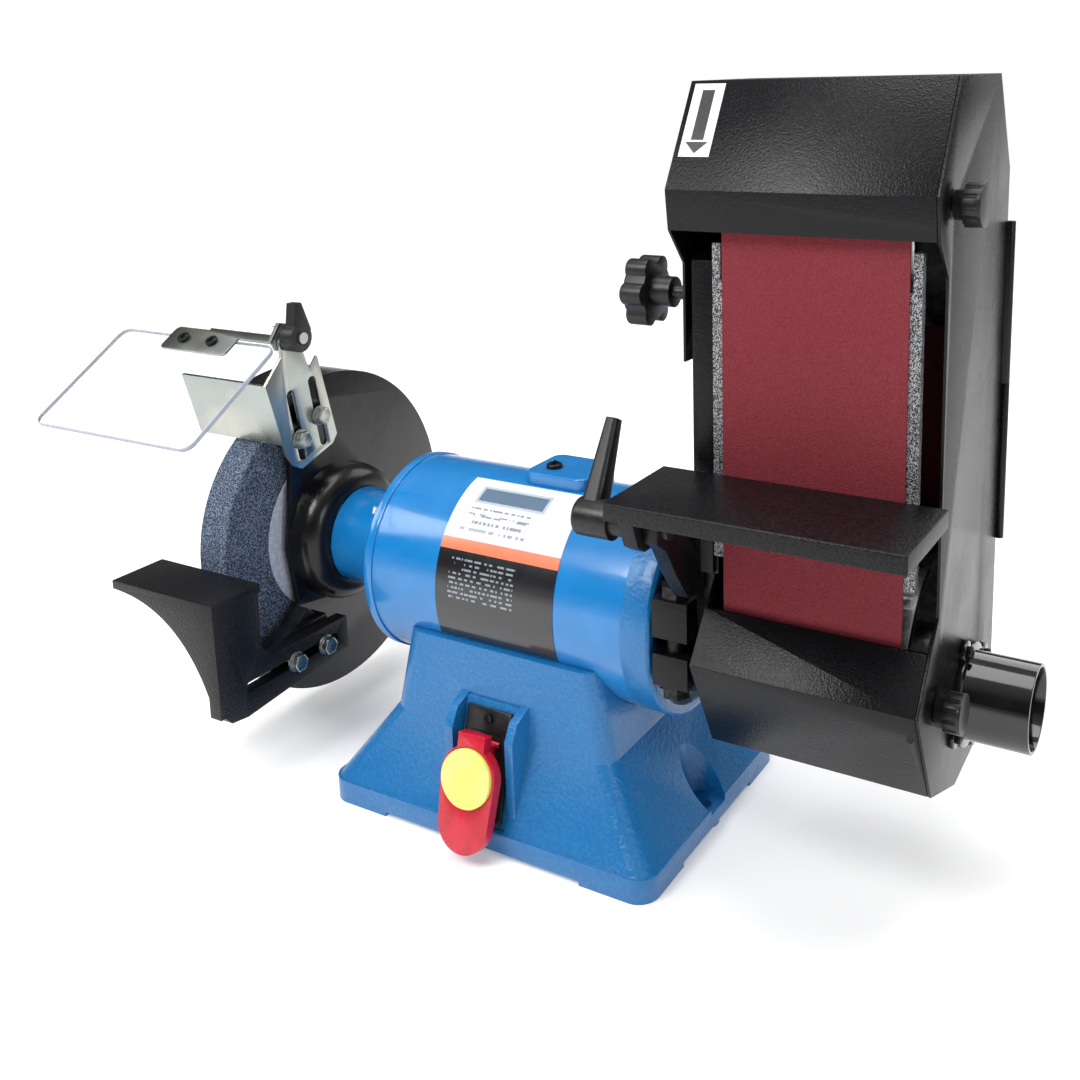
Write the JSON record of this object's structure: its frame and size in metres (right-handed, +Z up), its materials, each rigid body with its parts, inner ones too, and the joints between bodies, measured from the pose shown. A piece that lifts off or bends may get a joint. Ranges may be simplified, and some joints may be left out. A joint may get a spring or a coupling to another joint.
{
  "type": "bench grinder with belt sander",
  "caption": "Pedestal bench grinder with a guarded grinding wheel on one end of the motor and an upright belt sander arm with a tilting table on the other.",
  "frame": {"origin": "middle of the two bench bolt holes in the base, on the plane of the feet", "axes": "+X along the shaft from the grinding wheel to the belt sander, -Y towards the operator, +Z up"},
  "size_m": [0.642, 0.268, 0.476],
  "materials": {
    "blue_enamel": "smooth gloss blue enamel",
    "blue_cast": "blue enamel over a cast surface, slight orange peel",
    "black_gloss": "gloss black enamel",
    "black_wrinkle": "black wrinkle paint",
    "hammertone": "black and silver hammertone paint",
    "zinc": "bright zinc plate",
    "machined_steel": "turned steel",
    "black_steel": "black oxide steel",
    "cast_aluminium": "as cast and turned aluminium",
    "lamination": "stacked electrical steel",
    "copper": "varnished copper wire",
    "abrasive_wheel": "grey-blue vitrified grit",
    "abrasive_belt": "red-brown aluminium oxide cloth",
    "blotter_paper": "pale blotter paper",
    "clear_plastic": "clear acrylic",
    "black_plastic": "moulded black plastic",
    "black_gloss_plastic": "polished black plastic",
    "red_plastic": "red plastic",
    "yellow_plastic": "pale yellow plastic",
    "label_film": "printed vinyl label"
  },
  "bodies": {
    "root": {"base_casting": "blue_cast", "base_plate": "zinc", "base_plate_screws": "zinc", "cable_gland": "black_plastic", "motor_shell": "blue_enamel", "left_end_cap": "blue_enamel", "right_end_cap": "blue_cast", "tie_bolts": "zinc", "top_cover": "blue_enamel", "cover_screws": "black_steel", "rating_label": "label_film", "stator_core": "lamination", "stator_windings": "copper", "run_capacitor": "black_plastic", "motor_bearings": "machined_steel", "arm_adapter": "black_wrinkle", "guard_casting": "black_gloss", "guard_band": "black_gloss", "guard_cover": "black_gloss", "guard_screws": "black_steel", "rest_bolts": "zinc", "deflector_bolts": "zinc", "switch_bezel": "black_plastic", "switch_body": "black_plastic"},
    "spindle": {"motor_shaft": "machined_steel", "rotor": "lamination", "cooling_fan": "cast_aluminium", "grinding_wheel": "abrasive_wheel", "wheel_blotters": "blotter_paper", "wheel_flanges": "machined_steel", "spindle_nuts": "machined_steel", "drive_pulley": "cast_aluminium"},
    "rest": {"tool_rest": "black_wrinkle"},
    "deflector": {"spark_deflector": "zinc", "shield_pivot": "zinc"},
    "shield": {"shield_arm": "zinc", "eye_shield": "clear_plastic", "shield_screws": "black_steel"},
    "wing": {"wing_knob": "black_plastic"},
    "paddle": {"switch_paddle": "red_plastic"},
    "key": {"safety_key": "yellow_plastic"},
    "arm": {"arm_casting": "black_wrinkle", "clamp_bolt": "black_steel", "upper_hood": "black_wrinkle", "lower_hood": "black_wrinkle", "rear_cover": "black_wrinkle", "sanding_belt": "abrasive_belt", "platen": "hammertone", "table_bracket": "black_wrinkle", "tension_spring": "zinc"},
    "door": {"side_door": "black_wrinkle", "dust_port": "black_gloss_plastic", "port_screws": "black_steel"},
    "upper_knob": {"upper_door_knob": "black_plastic"},
    "lower_knob": {"lower_door_knob": "black_plastic"},
    "carriage": {"tension_carriage": "machined_steel"},
    "idler": {"idler_pulley": "cast_aluminium"},
    "tracker": {"tracking_knob": "black_plastic"},
    "table": {"work_table": "black_wrinkle"},
    "lever": {"table_lever": "black_plastic"}
  },
  "joints": [
    {"name": "spindle_spin", "type": "hinge", "parent": "root", "child": "spindle", "pos_m": [0, 0, 0.15], "axis": [1, 0, 0], "continuous": true},
    {"name": "arm_swivel", "type": "hinge", "parent": "root", "child": "arm", "pos_m": [0.128, 0, 0.15], "axis": [1, 0, 0], "range_deg": [-90, 0]},
    {"name": "rest_slide", "type": "slide", "parent": "root", "child": "rest", "axis": [0, -1, 0], "range_m": [-0.0015, 0.009]},
    {"name": "deflector_slide", "type": "slide", "parent": "root", "child": "deflector", "axis": [0, -0.1702, 0.9854], "range_m": [-0.0015, 0.011]},
    {"name": "shield_tilt", "type": "hinge", "parent": "deflector", "child": "shield", "pos_m": [-0.18, -0.052, 0.309], "axis": [1, 0, 0], "range_deg": [-65, 12]},
    {"name": "wing_turn", "type": "hinge", "parent": "deflector", "child": "wing", "pos_m": [-0.17, -0.052, 0.309], "axis": [1, 0, 0], "range_deg": [-90, 90]},
    {"name": "paddle_lift", "type": "hinge", "parent": "root", "child": "paddle", "pos_m": [0, -0.08131, 0.06704], "axis": [1, 0, 0], "range_deg": [-30, 3]},
    {"name": "key_pull", "type": "slide", "parent": "paddle", "child": "key", "axis": [0, -0.9659, 0.2588], "range_m": [0, 0.01]},
    {"name": "door_swing", "type": "hinge", "parent": "arm", "child": "door", "pos_m": [0.2776, 0.0712, 0.296], "axis": [0, 0, 1], "range_deg": [0, 110]},
    {"name": "upper_knob_turn", "type": "hinge", "parent": "door", "child": "upper_knob", "pos_m": [0.28, -0.05, 0.414], "axis": [1, 0, 0], "continuous": true},
    {"name": "lower_knob_turn", "type": "hinge", "parent": "door", "child": "lower_knob", "pos_m": [0.28, -0.057, 0.149], "axis": [1, 0, 0], "continuous": true},
    {"name": "belt_tension", "type": "slide", "parent": "arm", "child": "carriage", "axis": [0, 0, 1], "range_m": [-0.008, 0], "stiffness_N_per_m": 3000, "springref_m": 0.02, "deforming": ["tension_spring"]},
    {"name": "idler_spin", "type": "hinge", "parent": "carriage", "child": "idler", "pos_m": [0.2088, 0, 0.40614], "axis": [1, 0, 0], "continuous": true},
    {"name": "tracking_turn", "type": "hinge", "parent": "arm", "child": "tracker", "pos_m": [0.1, -0.03, 0.356], "axis": [1, 0, 0], "continuous": true},
    {"name": "table_tilt", "type": "hinge", "parent": "arm", "child": "table", "pos_m": [0.128, -0.104, 0.241], "axis": [1, 0, 0], "range_deg": [0, 45]},
    {"name": "lever_turn", "type": "hinge", "parent": "arm", "child": "lever", "pos_m": [0.1, -0.104, 0.241], "axis": [1, 0, 0], "continuous": true}
  ],
  "couplings": [
    {"joint": "idler_spin", "follows": "spindle_spin", "ratio": 1}
  ]
}
